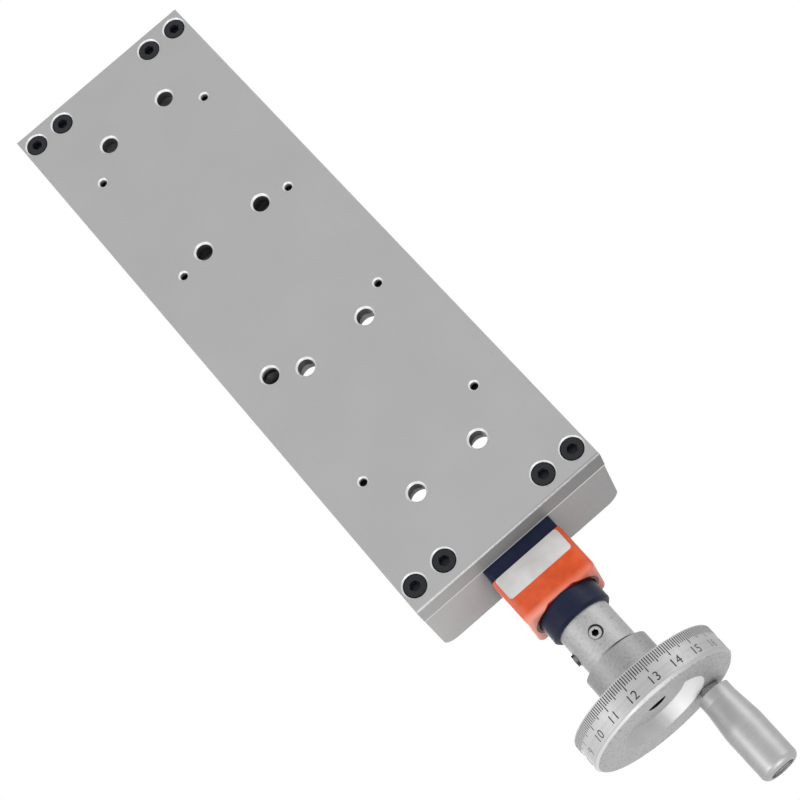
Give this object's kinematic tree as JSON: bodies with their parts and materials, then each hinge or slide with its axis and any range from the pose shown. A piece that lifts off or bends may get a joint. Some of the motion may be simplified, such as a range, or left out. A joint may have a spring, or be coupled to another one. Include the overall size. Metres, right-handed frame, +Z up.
{
  "type": "manual linear slide table",
  "caption": "Hand-cranked linear slide: a graduated handwheel turns a lead screw through a position indicator and moves a drilled table plate along guide rails between end blocks.",
  "frame": {"origin": "the centre of the base plate's underside, the face that is bolted to a machine", "axes": "+X to the right of an operator at the handwheel, +Y from the handwheel along the screw to the far end, +Z up from the base to the table"},
  "size_m": [0.088, 0.3975, 0.064],
  "materials": {
    "anodised_aluminium": "bead-blasted and clear anodised",
    "black_oxide_steel": "black oxide",
    "rail_steel": "ground",
    "shaft_steel": "turned and ground",
    "carriage_steel": "ground",
    "cap_plastic": "moulded, matt",
    "bronze": "machined bronze",
    "dark_plastic": "moulded, satin",
    "orange_plastic": "moulded, gloss",
    "clear_plastic": "clear",
    "drum_plastic": "moulded, matt",
    "units_plastic": "moulded, matt",
    "satin_aluminium": "cast, turned and satin plated",
    "polished_aluminium": "turned and polished"
  },
  "bodies": {
    "base": {"base_plate": "anodised_aluminium", "front_block": "anodised_aluminium", "rear_block": "anodised_aluminium", "front_block_screws": "black_oxide_steel", "rear_block_screws": "black_oxide_steel", "left_rail": "rail_steel", "right_rail": "rail_steel", "rail_screws": "black_oxide_steel", "front_bearing_outer_rings": "shaft_steel", "rear_bearing_outer_ring": "shaft_steel", "bearing_retainer": "anodised_aluminium", "retainer_screws": "black_oxide_steel", "indicator_base": "dark_plastic", "torque_pin": "shaft_steel", "indicator_housing": "orange_plastic", "indicator_window": "clear_plastic", "drum_axle": "shaft_steel", "thousands_drum": "drum_plastic", "hundreds_drum": "drum_plastic", "tens_drum": "drum_plastic"},
    "screw": {"lead_screw": "shaft_steel", "front_bearing_inner_rings": "shaft_steel", "rear_bearing_inner_ring": "shaft_steel", "bearing_spacer": "shaft_steel", "lock_nut": "black_oxide_steel", "shaft_circlip": "black_oxide_steel", "indicator_shaft": "shaft_steel", "indicator_collar": "dark_plastic", "collar_set_screw": "shaft_steel", "handwheel": "satin_aluminium", "lower_hub_set_screw": "shaft_steel", "side_hub_set_screw": "shaft_steel", "handle_spindle": "shaft_steel"},
    "grip": {"handle_grip": "polished_aluminium"},
    "table": {"slide_table": "anodised_aluminium", "carriage_screws": "black_oxide_steel", "nut_screws": "black_oxide_steel", "front_left_carriage": "carriage_steel", "front_right_carriage": "carriage_steel", "rear_left_carriage": "carriage_steel", "rear_right_carriage": "carriage_steel", "front_left_end_caps": "cap_plastic", "front_right_end_caps": "cap_plastic", "rear_left_end_caps": "cap_plastic", "rear_right_end_caps": "cap_plastic", "lead_nut": "bronze"},
    "units": {"units_drum": "units_plastic"}
  },
  "joints": [
    {"name": "screw_turn", "type": "hinge", "parent": "base", "child": "screw", "pos_m": [0, 0, 0.0272], "axis": [0, 1, 0], "range_deg": [-2069, 10349]},
    {"name": "table_slide", "type": "slide", "parent": "base", "child": "table", "axis": [0, 1, 0], "range_m": [-0.115, 0.023]},
    {"name": "grip_turn", "type": "hinge", "parent": "screw", "child": "grip", "pos_m": [-0.01826, -0.24, 0.04199], "axis": [0, 1, 0], "continuous": true},
    {"name": "units_turn", "type": "hinge", "parent": "base", "child": "units", "pos_m": [0, -0.1513, 0.0436], "axis": [1, 0, 0], "continuous": true}
  ],
  "couplings": [
    {"joint": "table_slide", "follows": "screw_turn", "m_per_rad": -0.00063662},
    {"joint": "units_turn", "follows": "screw_turn", "ratio": 4}
  ]
}
